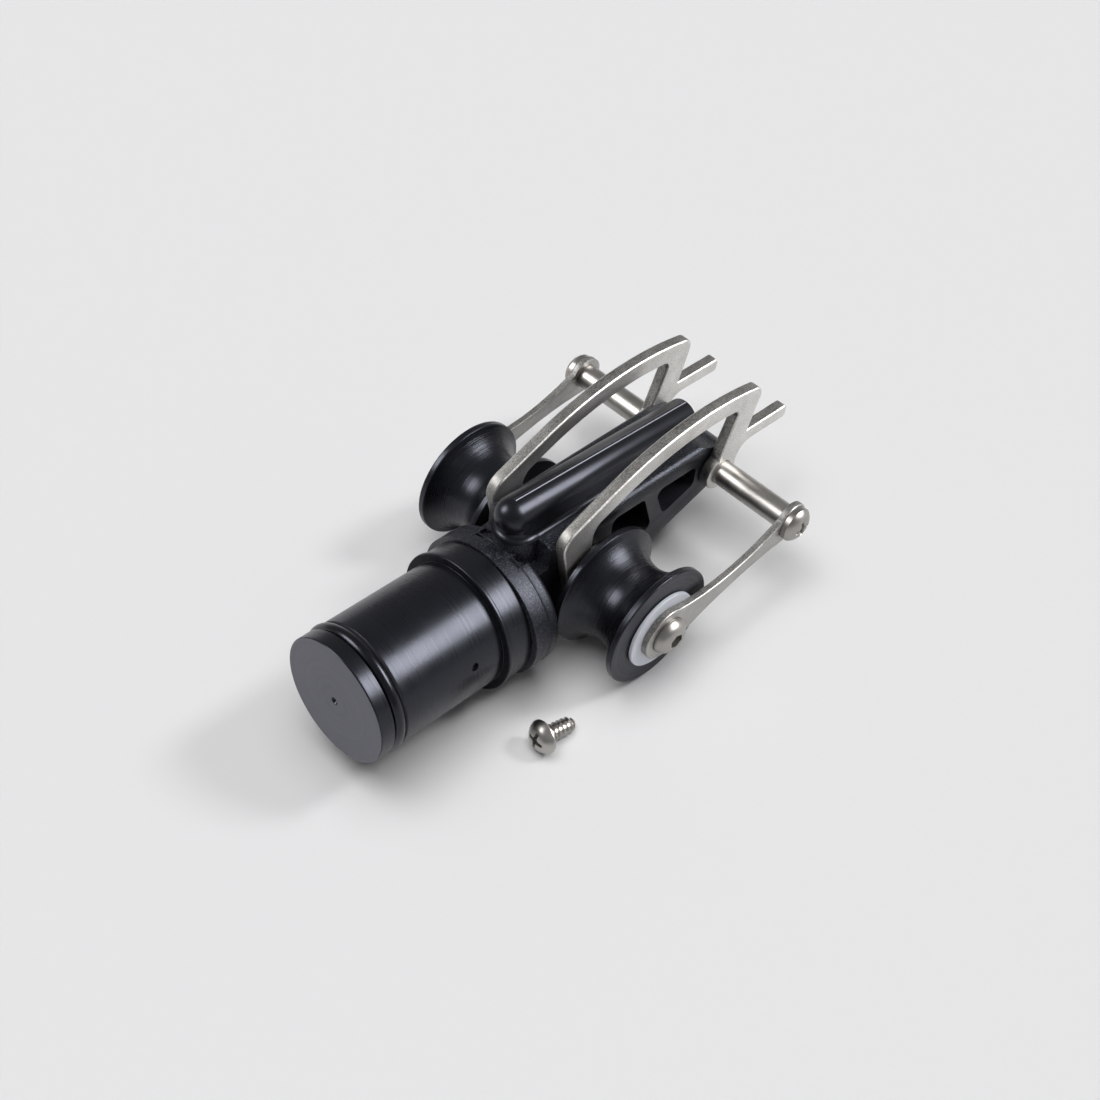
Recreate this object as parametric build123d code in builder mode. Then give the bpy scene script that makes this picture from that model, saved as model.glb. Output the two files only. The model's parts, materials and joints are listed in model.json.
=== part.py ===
from build123d import *
import math
import os

# Pole end with two line rollers and a pair of hooked jaw plates, in millimetres.
# It is drawn in the plug's own frame: X along the pole towards the jaws, Y to the left, Z up.
# At the end each piece is tipped forward, to lie as it does on a bench.

# Pole plug
tube_bore_radius = 23.0
plug_clearance = 0.15
plug_radius = tube_bore_radius - plug_clearance
plug_length = 52.0
plug_chamfer = 0.6
plug_land = 5.5
seal_cord = 4.5
seal_stand_out = 0.65
seal_side_room = 0.1
centre_mark_radius = 1.1
centre_mark_depth = 0.9
pilot_x = -12.3
pilot_angle = 73.8
pilot_radius = 1.4
pilot_depth = 1.2
rim_radius = 25.8
rim_width = 1.6
rim_relief = 0.5
band_radius = 25.0
band_end = 10.4
stub_radius = 15.0
stub_length = 16.0

# Axle, and the rollers, bushes and washers on it
axle_x = 47.9
axle_z = 4.6
axle_radius = 6.0
running_fit = 0.04
roller_radius = 23.0
roller_waist = 15.6
roller_length = 27.0
roller_rim = 2.4
roller_round = 0.4
roller_side_gap = 0.25
bush_wall = 2.2
outer_washer_radius = 14.9
outer_washer_gauge = 1.4
inner_washer_radius = 11.0
inner_washer_gauge = 1.4
washer_bore_gap = 0.15
tapped_depth = 18.0
bar_edge = 0.4

# Front pin
pin_x = 110.0
pin_z = 18.8
pin_radius = 4.75

# Jaw plates: a disc on the axle, a heel, an arched back, a beak, a notch and a finger
plate_gauge = 4.5
plate_edge = 0.5
heel_x = 26.7
heel_radius = 7.0
plate_foot_radius = 13.0
back_start_x = 50.0
crown_x = 99.0
crown_z = 54.2
back_radius = 122.0
back_band = 7.3
beak_x = 124.6
beak_radius = 4.2
notch_x = 120.4
notch_z = 32.9
finger_tip_x = 143.4
finger_depth = 5.5
finger_radius = 1.8
throat_radius = 6.5
pin_boss_radius = 7.4
web_foot_x = 106.4
web_foot_z = 24.5
web_lean = 6.4
window_corner_radius = 2.6
window_rear_x = 42.0
window_rear_radius = 5.5
window_foot_radius = 3.0

# Link arms
arm_gauge = 2.5
arm_eye_radius = 10.2
arm_tip_radius = 7.2
arm_waist_x = 80.5
arm_waist_top = 13.9
arm_waist_bottom = 7.2
arm_edge = 0.35

# Screws, by their nominal thread radius
axle_thread = 4.0
axle_screw_length = 16.0
button_radius = 7.0
button_height = 4.4
button_rim = 1.0
button_flat = 3.6
button_bulge = 0.75
hex_across_flats = 5.0
hex_depth = 2.6
pin_thread = 3.0
pin_screw_length = 14.0
pan_radius = 6.6
pan_height = 4.8
pan_rim = 1.1
pan_flat = 1.6
pan_bulge = 0.9
thread_gap = 0.05
screw_hole_gap = 0.25
cross_width = 1.5
cross_reach = 3.5
cross_depth = 2.6

# Body moulding
body_half_width = 14.4
body_gap = 0.3
neck_half_width = 27.4
neck_half_height = 24.6
neck_rise = 0.9
neck_end = 22.0
neck_fillet = 2.5
socket_gap = 0.05
keel_slope = 19.5
keel_front_radius = 9.2
keel_rear_x = 18.0
shoulder_z = 20.0
deck_rear_x = 26.3
deck_rear_z = 29.4
deck_front_x = 101.0
deck_front_z = 31.2
deck_round = 2.4
spine_half_width = 6.4
spine_end_x = 22.0
spine_rear_top_z = 43.4
spine_front_x = 106.0
spine_front_top_z = 41.2
spine_depth = 2.0
foot_x = 24.5
pedestal_radius = 8.0
pedestal_top_z = 29.8
notch_start_x = 15.8
notch_length = 5.2
notch_inner_y = 5.9
notch_width = 4.4
notch_floor_z = 22.0
pocket_web = 4.0
pocket_wall = 9.5
pocket_top_z = 23.8
pocket_fillet = 2.8
rear_pocket_x = 57.0
rear_pocket_end_x = 72.9
front_pocket_x = 78.6
front_pocket_end_x = 100.3
rib_lean = 6.5

# Loose fixing screw, lying on the bench beside the plug
fixing_thread = 3.1
fixing_length = 13.0
fixing_point = 3.4
fixing_point_radius = 1.1
fixing_head_radius = 6.1
fixing_head_height = 4.2
fixing_rim = 0.7
fixing_flat = 1.5
fixing_bulge = 0.85
fixing_head_x = -1.7
fixing_head_y = -43.1
fixing_turn = -6.1

# Places that follow from the sizes above
plate_inner = body_half_width
plate_outer = plate_inner + plate_gauge
inner_washer_face = plate_outer
roller_inner_face = inner_washer_face + inner_washer_gauge + roller_side_gap
roller_outer_face = roller_inner_face + roller_length
outer_washer_face = roller_outer_face + roller_side_gap
arm_inner_face = outer_washer_face + outer_washer_gauge
arm_outer_face = arm_inner_face + arm_gauge
bush_bore = axle_radius + running_fit
bush_radius = bush_bore + bush_wall
axle_hole_radius = axle_radius + running_fit
pin_hole_radius = pin_radius + running_fit

# The tip forward at which the band's front edge and both rollers touch the bench
reach = math.hypot(axle_x - band_end, axle_z + band_radius)
lean = math.atan2(axle_x - band_end, axle_z + band_radius)
bench_tilt = math.degrees(math.acos(roller_radius / reach) - lean)
bench_z = -band_end * math.sin(math.radians(bench_tilt)) - band_radius * math.cos(math.radians(bench_tilt))

# Turned profiles read as (distance to the right of the middle, radius)
axle_line = Axis((axle_x, 0, axle_z), (0, 1, 0))
axle_plane = Plane(origin=(axle_x, 0, axle_z), x_dir=(0, -1, 0), z_dir=(0, 0, 1))
pin_line = Axis((pin_x, 0, pin_z), (0, 1, 0))
pin_plane = Plane(origin=(pin_x, 0, pin_z), x_dir=(0, -1, 0), z_dir=(0, 0, 1))
os.makedirs("parts", exist_ok=True)


def save(piece, name, lie_down=True):
    """Write one piece, tipped about the Y axis to lie on the bench."""
    laid = piece.rotate(Axis.Y, bench_tilt) if lie_down else piece
    laid.label = name
    export_step(laid, f"parts/{name}.step")


def save_pair(piece, name):
    """Write the right-hand piece, and its mirror image on the left."""
    save(piece, name + "_right")
    save(mirror(piece, about=Plane.XZ), name + "_left")


def side_plane(outboard):
    """A plane this far to the right, whose sketches read as (x, z) and extrude further right."""
    return Plane(origin=(0, -outboard, 0), x_dir=(1, 0, 0), z_dir=(0, -1, 0))


def corner(sketch, x, z):
    """The sketch's corner nearest to a point."""
    return sketch.vertices().sort_by_distance((x, z))[0]


# Pole plug: seal groove, raised rim, plain band, and the stub that the body is pressed on
groove_floor = plug_radius + seal_stand_out - seal_cord
seal_height = tube_bore_radius - groove_floor
seal_width = seal_cord**2 / seal_height
groove_start = -plug_length + plug_land
groove_end = groove_start + seal_width + 2 * seal_side_room
with BuildPart() as pole_plug:
    with BuildSketch(Plane.XZ):
        with BuildLine():
            Polyline(
                (-plug_length, 0),
                (-plug_length, plug_radius - plug_chamfer),
                (-plug_length + plug_chamfer, plug_radius),
                (groove_start, plug_radius),
                (groove_start, groove_floor),
                (groove_end, groove_floor),
                (groove_end, plug_radius),
                (0, plug_radius),
                (0, rim_radius - rim_relief),
                (rim_relief, rim_radius),
                (rim_width, rim_radius),
                (rim_width, band_radius),
                (band_end, band_radius),
                (band_end, stub_radius),
                (band_end + stub_length, stub_radius),
                (band_end + stub_length, 0),
                close=True,
            )
        make_face()
    revolve(axis=Axis.X)
    with BuildSketch(Plane.YZ.offset(-plug_length)):
        Circle(centre_mark_radius)
    extrude(amount=centre_mark_depth, taper=math.degrees(math.atan(1 / 2)), mode=Mode.SUBTRACT)
    pilot = math.radians(pilot_angle)
    pilot_out = (0, -math.sin(pilot), math.cos(pilot))
    pilot_at = (pilot_x, plug_radius * pilot_out[1], plug_radius * pilot_out[2])
    with Locations(Plane(origin=pilot_at, z_dir=pilot_out)):
        Hole(pilot_radius, pilot_depth)
save(pole_plug.part, "pole_plug")

# Seal ring in its groove, squeezed oval by the pole tube
with BuildPart() as pole_seal:
    with BuildSketch(Plane.XZ):
        with Locations(((groove_start + groove_end) / 2, groove_floor + seal_height / 2)):
            Ellipse(seal_width / 2, seal_height / 2)
    revolve(axis=Axis.X)
save(pole_seal.part, "pole_seal")


# Body moulding: neck, box with pocketed sides, and a round-topped spine on a pedestal
def keel_z(x):
    """Height of the slanted lower edge, which touches the round front boss."""
    slope = math.tan(math.radians(keel_slope))
    return pin_z - keel_front_radius / math.cos(math.radians(keel_slope)) - (pin_x - x) * slope


neck_start = band_end + body_gap
neck_floor = neck_rise - neck_half_height
socket_end = band_end + stub_length + body_gap
spine_rear_z = spine_rear_top_z - spine_half_width
spine_front_z = spine_front_top_z - spine_half_width
spine_run = spine_front_x - spine_end_x
spine_fall = spine_rear_top_z - spine_front_top_z
spine_root_z = deck_rear_z - spine_depth
spine_foot_z = spine_rear_z - spine_fall * (foot_x - spine_end_x) / spine_run
with BuildPart() as jaw_body:
    # neck, wider than it is high
    with BuildSketch(Plane.YZ.offset(neck_start)):
        with Locations((0, neck_rise)):
            Ellipse(neck_half_width, neck_half_height)
    extrude(amount=neck_end - neck_start)
    fillet(jaw_body.faces().sort_by(Axis.X)[-1].edges(), neck_fillet)
    # box between the plates, down to the slanted keel and round the front pin
    with BuildSketch(side_plane(-body_half_width)):
        with BuildLine():
            Polyline(
                (keel_rear_x, keel_z(keel_rear_x)),
                (pin_x, keel_z(pin_x)),
                (pin_x, pin_z + keel_front_radius),
                (deck_front_x, deck_front_z),
                (deck_rear_x, deck_rear_z),
                (deck_rear_x, shoulder_z),
                (keel_rear_x, shoulder_z),
                close=True,
            )
        make_face()
        with Locations((pin_x, pin_z)):
            Circle(keel_front_radius)
    extrude(amount=2 * body_half_width)
    deck_middle = ((deck_rear_x + deck_front_x) / 2, 0, (deck_rear_z + deck_front_z) / 2)
    deck = jaw_body.faces().sort_by_distance(deck_middle)[0]
    fillet(deck.edges().group_by(Axis.Y)[0] + deck.edges().group_by(Axis.Y)[-1], deck_round)
    # the neck and the box end at the keel line, apart from the front boss
    with BuildSketch(side_plane(-neck_half_width)):
        with BuildLine():
            Polyline(
                (neck_start, keel_z(neck_start)),
                (pin_x, keel_z(pin_x)),
                (pin_x, neck_floor - neck_end),
                (neck_start, neck_floor - neck_end),
                close=True,
            )
        make_face()
        with Locations((pin_x, pin_z)):
            Circle(keel_front_radius, mode=Mode.SUBTRACT)
    extrude(amount=2 * neck_half_width, mode=Mode.SUBTRACT)
    # two notches in the top of the neck
    with BuildSketch(Plane.XY.offset(notch_floor_z)):
        for side in (-1, 1):
            with Locations((notch_start_x + notch_length / 2, side * (notch_inner_y + notch_width / 2))):
                Rectangle(notch_length, notch_width)
    extrude(amount=neck_half_height, mode=Mode.SUBTRACT)
    # pedestal and spine foot, both round at the rear
    with BuildSketch(Plane.XY.offset(shoulder_z)):
        with Locations((foot_x, 0)):
            Circle(pedestal_radius)
    extrude(amount=pedestal_top_z - shoulder_z)
    with BuildSketch(Plane.XY.offset(spine_root_z)):
        with Locations((foot_x, 0)):
            Circle(spine_half_width)
    extrude(amount=spine_foot_z - spine_root_z)
    # spine wall, and the round bar along its top, which falls a little towards the front
    with BuildSketch(side_plane(-spine_half_width)):
        with BuildLine():
            Polyline(
                (foot_x, spine_root_z),
                (spine_front_x, spine_root_z),
                (spine_front_x, spine_front_z),
                (foot_x, spine_foot_z),
                close=True,
            )
        make_face()
    extrude(amount=2 * spine_half_width)
    with BuildSketch(Plane(origin=(spine_end_x, 0, spine_rear_z), z_dir=(spine_run, 0, -spine_fall))):
        Circle(spine_half_width)
    extrude(amount=math.hypot(spine_run, spine_fall))
    with Locations((spine_end_x, 0, spine_rear_z)):
        Sphere(spine_half_width)
    # pockets in both sides, behind and before a leaning rib
    for side in (-1, 1):
        with BuildSketch(side_plane(side * body_half_width)) as pockets:
            with BuildLine():
                Polyline(
                    (rear_pocket_x, keel_z(rear_pocket_x) + pocket_wall),
                    (rear_pocket_end_x + rib_lean, keel_z(rear_pocket_end_x + rib_lean) + pocket_wall),
                    (rear_pocket_end_x, pocket_top_z),
                    (rear_pocket_x, pocket_top_z),
                    close=True,
                )
            make_face()
            with BuildLine():
                Polyline(
                    (front_pocket_x + rib_lean, keel_z(front_pocket_x + rib_lean) + pocket_wall),
                    (front_pocket_end_x, keel_z(front_pocket_end_x) + pocket_wall),
                    (front_pocket_end_x, pocket_top_z),
                    (front_pocket_x, pocket_top_z),
                    close=True,
                )
            make_face()
            fillet(pockets.vertices(), pocket_fillet)
        extrude(amount=-side * (body_half_width - pocket_web / 2), mode=Mode.SUBTRACT)
    # socket for the plug's stub, and bores for the axle and the front pin
    with BuildSketch(Plane.YZ.offset(neck_start)):
        Circle(stub_radius + socket_gap)
    extrude(amount=socket_end - neck_start, mode=Mode.SUBTRACT)
    with BuildSketch(side_plane(-body_half_width)):
        with Locations((axle_x, axle_z)):
            Circle(axle_hole_radius)
        with Locations((pin_x, pin_z)):
            Circle(pin_hole_radius)
    extrude(amount=2 * body_half_width, mode=Mode.SUBTRACT)
save(jaw_body.part, "jaw_body")


# Jaw plate, cut from sheet
def back_z(x, radius=back_radius):
    """Height of the rounded back, or of the window's edge that runs level with it."""
    return crown_z - back_radius + math.sqrt(radius**2 - (x - crown_x) ** 2)


back_lean = math.asin((crown_x - back_start_x) / back_radius)
heel_z = back_z(back_start_x) - (back_start_x - heel_x) * math.tan(back_lean)
window_radius = back_radius - back_band
window_start_x = back_start_x + back_band * math.sin(back_lean)
window_start_z = back_z(window_start_x, window_radius)
window_rear_z = window_start_z - (window_start_x - window_rear_x) * math.tan(back_lean)
heel_span = math.hypot(axle_x - heel_x, heel_z - axle_z)
foot_touch = math.atan2(heel_z - axle_z, heel_x - axle_x) + math.acos(plate_foot_radius / heel_span)
foot_touch_x = axle_x + plate_foot_radius * math.cos(foot_touch)
foot_touch_z = axle_z + plate_foot_radius * math.sin(foot_touch)
web_top_x = web_foot_x + web_lean
with BuildPart() as jaw_plate:
    with BuildSketch(side_plane(plate_inner)) as outline:
        with BuildLine():
            Line((heel_x, heel_z), (back_start_x, back_z(back_start_x)))
            ThreePointArc(
                (back_start_x, back_z(back_start_x)),
                (crown_x, crown_z),
                (beak_x, back_z(beak_x)),
            )
            Polyline(
                (beak_x, back_z(beak_x)),
                (notch_x, notch_z),
                (finger_tip_x, notch_z),
                (finger_tip_x, notch_z - finger_depth),
                (pin_x + pin_boss_radius, notch_z - finger_depth),
                (pin_x + pin_boss_radius, pin_z),
                (pin_x, pin_z),
                (web_foot_x, web_foot_z),
                (web_top_x, back_z(web_top_x, window_radius)),
            )
            ThreePointArc(
                (web_top_x, back_z(web_top_x, window_radius)),
                (crown_x, crown_z - back_band),
                (window_start_x, window_start_z),
            )
            Polyline(
                (window_start_x, window_start_z),
                (window_rear_x, window_rear_z),
                (window_rear_x, axle_z),
                (axle_x, axle_z),
                (foot_touch_x, foot_touch_z),
                (heel_x, heel_z),
            )
        make_face()
        with Locations((axle_x, axle_z)):
            Circle(plate_foot_radius)
        with Locations((pin_x, pin_z)):
            Circle(pin_boss_radius)
        foot_top_z = axle_z + math.sqrt(plate_foot_radius**2 - (axle_x - window_rear_x) ** 2)
        fillet(corner(outline, heel_x, heel_z), heel_radius)
        fillet(corner(outline, beak_x, back_z(beak_x)), beak_radius)
        fillet(corner(outline, finger_tip_x, notch_z), finger_radius)
        fillet(corner(outline, finger_tip_x, notch_z - finger_depth), finger_radius)
        fillet(corner(outline, pin_x + pin_boss_radius, notch_z - finger_depth), throat_radius)
        fillet(corner(outline, web_top_x, crown_z - back_band), window_corner_radius)
        fillet(corner(outline, window_rear_x, window_rear_z), window_rear_radius)
        fillet(corner(outline, window_rear_x, foot_top_z), window_foot_radius)
        with Locations((axle_x, axle_z)):
            Circle(axle_hole_radius, mode=Mode.SUBTRACT)
        with Locations((pin_x, pin_z)):
            Circle(pin_hole_radius, mode=Mode.SUBTRACT)
    extrude(amount=plate_gauge)
    plate_sides = jaw_plate.faces().sort_by(Axis.Y)
    chamfer(plate_sides[0].outer_wire().edges() + plate_sides[-1].outer_wire().edges(), plate_edge)
save_pair(jaw_plate.part, "jaw_plate")

# Roller, hollow in the middle
with BuildPart() as roller:
    with BuildSketch(axle_plane):
        with BuildLine():
            ThreePointArc(
                (roller_inner_face + roller_rim, roller_radius - roller_round),
                ((roller_inner_face + roller_outer_face) / 2, roller_waist),
                (roller_outer_face - roller_rim, roller_radius - roller_round),
            )
            Polyline(
                (roller_outer_face - roller_rim, roller_radius - roller_round),
                (roller_outer_face - roller_rim + roller_round, roller_radius),
                (roller_outer_face - roller_round, roller_radius),
                (roller_outer_face, roller_radius - roller_round),
                (roller_outer_face, bush_radius),
                (roller_inner_face, bush_radius),
                (roller_inner_face, roller_radius - roller_round),
                (roller_inner_face + roller_round, roller_radius),
                (roller_inner_face + roller_rim - roller_round, roller_radius),
                (roller_inner_face + roller_rim, roller_radius - roller_round),
            )
        make_face()
    revolve(axis=axle_line)
save_pair(roller.part, "roller")


# Bushes and washers
def turn_ring(inner_radius, outer_radius, start, length):
    """A plain ring on the axle line, on the right-hand side."""
    with BuildPart() as turned:
        with BuildSketch(axle_plane):
            with Locations((start, inner_radius)):
                Rectangle(length, outer_radius - inner_radius, align=(Align.MIN, Align.MIN))
        revolve(axis=axle_line)
    return turned.part


washer_bore = axle_radius + washer_bore_gap
save_pair(turn_ring(bush_bore, bush_radius, roller_inner_face, roller_length), "roller_bush")
save_pair(turn_ring(washer_bore, outer_washer_radius, outer_washer_face, outer_washer_gauge), "outer_washer")
save_pair(turn_ring(washer_bore, inner_washer_radius, inner_washer_face, inner_washer_gauge), "inner_washer")


# Axle and front pin
def turn_bar(line, plane, radius, thread_radius):
    """A round bar from arm to arm, tapped in both ends."""
    with BuildPart() as bar:
        with BuildSketch(plane):
            with BuildLine():
                Polyline(
                    (0, 0),
                    (arm_inner_face - tapped_depth, 0),
                    (arm_inner_face - tapped_depth, thread_radius + thread_gap),
                    (arm_inner_face, thread_radius + thread_gap),
                    (arm_inner_face, radius - bar_edge),
                    (arm_inner_face - bar_edge, radius),
                    (0, radius),
                    close=True,
                )
            make_face()
        revolve(axis=line)
        mirror(about=Plane.XZ)
    return bar.part


save(turn_bar(axle_line, axle_plane, axle_radius, axle_thread), "axle_rod")
save(turn_bar(pin_line, pin_plane, pin_radius, pin_thread), "front_pin")

# Link arm, from a wide eye on the axle to a small eye on the front pin
with BuildPart() as link_arm:
    with BuildSketch(side_plane(arm_inner_face)):
        with BuildLine():
            ThreePointArc(
                (axle_x, axle_z + arm_eye_radius),
                (arm_waist_x, arm_waist_top),
                (pin_x, pin_z + arm_tip_radius),
            )
            Line((pin_x, pin_z + arm_tip_radius), (pin_x, pin_z - arm_tip_radius))
            ThreePointArc(
                (pin_x, pin_z - arm_tip_radius),
                (arm_waist_x, arm_waist_bottom),
                (axle_x, axle_z - arm_eye_radius),
            )
            Line((axle_x, axle_z - arm_eye_radius), (axle_x, axle_z + arm_eye_radius))
        make_face()
        for x, z, eye, thread in (
            (axle_x, axle_z, arm_eye_radius, axle_thread),
            (pin_x, pin_z, arm_tip_radius, pin_thread),
        ):
            with Locations((x, z)):
                Circle(eye)
                Circle(thread + screw_hole_gap, mode=Mode.SUBTRACT)
    extrude(amount=arm_gauge)
    chamfer(link_arm.faces().sort_by(Axis.Y)[0].outer_wire().edges(), arm_edge)
save_pair(link_arm.part, "link_arm")


# Screws
def turn_screw(line, plane, seat, shank, head, bulge):
    """A shank inside the seat and a domed head outside it, turned about its line."""
    shank_length, shank_radius = shank
    head_radius, head_height, head_rim, head_flat = head
    with BuildPart() as blank:
        with BuildSketch(plane):
            with BuildLine():
                SagittaArc((seat + head_rim, head_radius), (seat + head_height, head_flat), bulge)
                Polyline(
                    (seat + head_height, head_flat),
                    (seat + head_height, 0),
                    (seat - shank_length, 0),
                    (seat - shank_length, shank_radius - bar_edge),
                    (seat - shank_length + bar_edge, shank_radius),
                    (seat, shank_radius),
                    (seat, head_radius),
                    (seat + head_rim, head_radius),
                )
            make_face()
        revolve(axis=line)
    return blank.part


# Button-head screw with a hexagon socket, holding the arm to the axle
axle_shank = (axle_screw_length, axle_thread)
button_head = (button_radius, button_height, button_rim, button_flat)
with BuildPart() as axle_screw:
    add(turn_screw(axle_line, axle_plane, arm_outer_face, axle_shank, button_head, button_bulge))
    with BuildSketch(side_plane(arm_outer_face + button_height)):
        with Locations((axle_x, axle_z)):
            RegularPolygon(hex_across_flats / 2, 6, major_radius=False)
    extrude(amount=-hex_depth, mode=Mode.SUBTRACT)
save_pair(axle_screw.part, "axle_screw")

# Pan-head screw with a cross recess, holding the arm to the front pin
pin_shank = (pin_screw_length, pin_thread)
pan_head = (pan_radius, pan_height, pan_rim, pan_flat)
with BuildPart() as pin_screw:
    add(turn_screw(pin_line, pin_plane, arm_outer_face, pin_shank, pan_head, pan_bulge))
    with BuildSketch(side_plane(arm_outer_face + pan_height)):
        with Locations((pin_x, pin_z)):
            Rectangle(2 * cross_reach, cross_width)
            Rectangle(cross_width, 2 * cross_reach)
    extrude(amount=-cross_depth, mode=Mode.SUBTRACT)
save_pair(pin_screw.part, "pin_screw")

# Loose fixing screw with a tapered point: it lies on its head's rim and on its thread
full_thread = fixing_length - fixing_point
fixing_dip = math.degrees(math.atan2(fixing_head_radius - fixing_thread, full_thread))
with BuildPart() as fixing_screw:
    with BuildSketch(Plane.XZ):
        with BuildLine():
            SagittaArc((-fixing_rim, fixing_head_radius), (-fixing_head_height, fixing_flat), -fixing_bulge)
            Polyline(
                (-fixing_head_height, fixing_flat),
                (-fixing_head_height, 0),
                (fixing_length, 0),
                (fixing_length, fixing_point_radius),
                (full_thread, fixing_thread),
                (0, fixing_thread),
                (0, fixing_head_radius),
                (-fixing_rim, fixing_head_radius),
            )
        make_face()
    revolve(axis=Axis.X)
    with BuildSketch(Plane.YZ.offset(-fixing_head_height)):
        Rectangle(2 * cross_reach, cross_width, rotation=45)
        Rectangle(cross_width, 2 * cross_reach, rotation=45)
    extrude(amount=cross_depth, mode=Mode.SUBTRACT)
head_centre_z = bench_z + fixing_head_radius * math.cos(math.radians(fixing_dip))
dipped = fixing_screw.part.rotate(Axis.Y, fixing_dip).rotate(Axis.Z, fixing_turn)
lying = dipped.translate((fixing_head_x, fixing_head_y, head_centre_z))
save(lying, "fixing_screw", lie_down=False)
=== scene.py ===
import json
import math

import bmesh
import bpy
import numpy as np
from mathutils import Matrix, Vector


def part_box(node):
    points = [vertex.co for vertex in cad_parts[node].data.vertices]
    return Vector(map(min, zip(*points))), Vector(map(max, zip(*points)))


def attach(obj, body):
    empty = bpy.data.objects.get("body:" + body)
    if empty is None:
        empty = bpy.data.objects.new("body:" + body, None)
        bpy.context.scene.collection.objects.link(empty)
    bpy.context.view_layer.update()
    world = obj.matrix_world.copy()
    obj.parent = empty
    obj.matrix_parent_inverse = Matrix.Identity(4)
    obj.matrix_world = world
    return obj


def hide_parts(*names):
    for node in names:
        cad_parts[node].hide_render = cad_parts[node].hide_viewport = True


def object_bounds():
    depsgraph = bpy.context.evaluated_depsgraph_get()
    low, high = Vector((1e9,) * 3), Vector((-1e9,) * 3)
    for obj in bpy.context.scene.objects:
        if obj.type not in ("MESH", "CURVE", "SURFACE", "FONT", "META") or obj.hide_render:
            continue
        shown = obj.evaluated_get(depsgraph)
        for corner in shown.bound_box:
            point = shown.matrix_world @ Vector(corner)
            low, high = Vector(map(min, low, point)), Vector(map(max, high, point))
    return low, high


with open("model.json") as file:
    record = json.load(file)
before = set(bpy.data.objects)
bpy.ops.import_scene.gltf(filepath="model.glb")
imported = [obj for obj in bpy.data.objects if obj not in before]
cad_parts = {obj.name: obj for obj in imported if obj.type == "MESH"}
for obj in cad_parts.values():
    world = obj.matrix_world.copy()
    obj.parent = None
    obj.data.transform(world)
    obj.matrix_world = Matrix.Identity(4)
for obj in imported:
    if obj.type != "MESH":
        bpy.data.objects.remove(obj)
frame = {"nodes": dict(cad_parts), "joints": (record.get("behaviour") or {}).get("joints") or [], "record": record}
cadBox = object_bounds()
mm = 0.001


def named(rows, name):
    # The mount or joint of this name
    return next(row for row in rows if row["name"] == name)


def side(node, axis, high):
    # One side of a CAD node's box, in mm
    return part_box(node)[1 if high else 0]["xyz".index(axis)] / mm


# The lines that pieces turn about, each an origin in mm and a direction. The plug's own line leans by this
# angle as the fitting lies on the bench, which is level with the lowest side of the CAD box
plugMount = named(frame["record"]["mounts"], "pole_plug")
lean = math.atan2(plugMount["axis"][2], -plugMount["axis"][0])
plugLine = (np.zeros(3), np.array([math.cos(lean), 0, -math.sin(lean)]))
axleAt = np.array(named(frame["joints"], "right_roller_spin")["pos_m"]) / mm
axleLine = (axleAt * (1, 0, 1), np.array([0.0, 1.0, 0.0]))
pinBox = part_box("front_pin")
pinLine = (np.array((pinBox[0] + pinBox[1]) / 2) / mm * (1, 0, 1), np.array([0.0, 1.0, 0.0]))
bench = cadBox[0].z / mm


# Shapes: all in mm, in the frame's own directions

meshing = {
    "straight": 89.5,  # degrees each side of its bisector, from which a corner is too flat to round
    "spare": 0.2,  # how far along a run the point beside a cut may stand, as a share of the run
    "merge": 0.002,  # mm, within which points become one
    "flat": 0.6,  # degrees, within which a copied node's triangles become one face
    "roundFrom": 32,  # degrees, from which a copied node's edges are rounded
    "roundSteps": 3,
}


def roundedLine(corners, steps=6):
    # Each corner (along, radius, rounding) is cut back on both runs by rounding / tan(half its angle), and
    # an arc about the corner's bisector joins the cuts. A point beside each cut keeps the run's shading
    # straight
    corners = np.array(corners, float)
    line = [corners[:1, :2]]
    for before, here, after in zip(corners[:-2], corners[1:-1], corners[2:]):
        back, ahead = before[:2] - here[:2], after[:2] - here[:2]
        backLength, aheadLength = np.linalg.norm(back), np.linalg.norm(ahead)
        back, ahead = back / backLength, ahead / aheadLength
        half = math.acos(np.clip(back @ ahead, -1, 1)) / 2
        if here[2] == 0 or half > math.radians(meshing["straight"]):
            line.append(here[None, :2])
            continue
        cut = here[2] / math.tan(half)
        centre = here[:2] + (back + ahead) / np.linalg.norm(back + ahead) * here[2] / math.sin(half)
        turn = math.pi - 2 * half
        share = np.linspace(0, 1, steps + 1)[:, None]
        start, end = here[:2] + back * cut - centre, here[:2] + ahead * cut - centre
        arc = centre + (np.sin((1 - share) * turn) * start + np.sin(share * turn) * end) / math.sin(turn)
        spareBack = min(meshing["spare"] * (backLength - cut), here[2])
        spareAhead = min(meshing["spare"] * (aheadLength - cut), here[2])
        line.append(here[None, :2] + back * (cut + spareBack))
        line.append(arc)
        line.append(here[None, :2] + ahead * (cut + spareAhead))
    line.append(corners[-1:, :2])
    return np.concatenate(line)


def turned(profile, line, columns=None, angle=None):
    # Turned about a line: point = origin + axis * along + radius * (cos a * sideways + sin a * upright),
    # with one row for each profile point and one column for each angle a. A profile is one for all angles,
    # (rows, 2), and is repeated for each column, or changes with the angle, (rows, columns, 2). The angles
    # are even unless they are given
    origin, axis = line
    sideways = np.cross(axis, (0.0, 0.0, 1.0))
    sideways = sideways / np.linalg.norm(sideways)
    upright = np.cross(sideways, axis)
    if profile.ndim == 2:
        profile = np.repeat(profile[:, None, :], columns, 1)
    if angle is None:
        angle = np.linspace(0, 2 * math.pi, profile.shape[1], endpoint=False)
    spoke = np.cos(angle)[:, None] * sideways + np.sin(angle)[:, None] * upright
    return origin + profile[..., :1] * axis + profile[..., 1:] * spoke[None]


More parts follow.
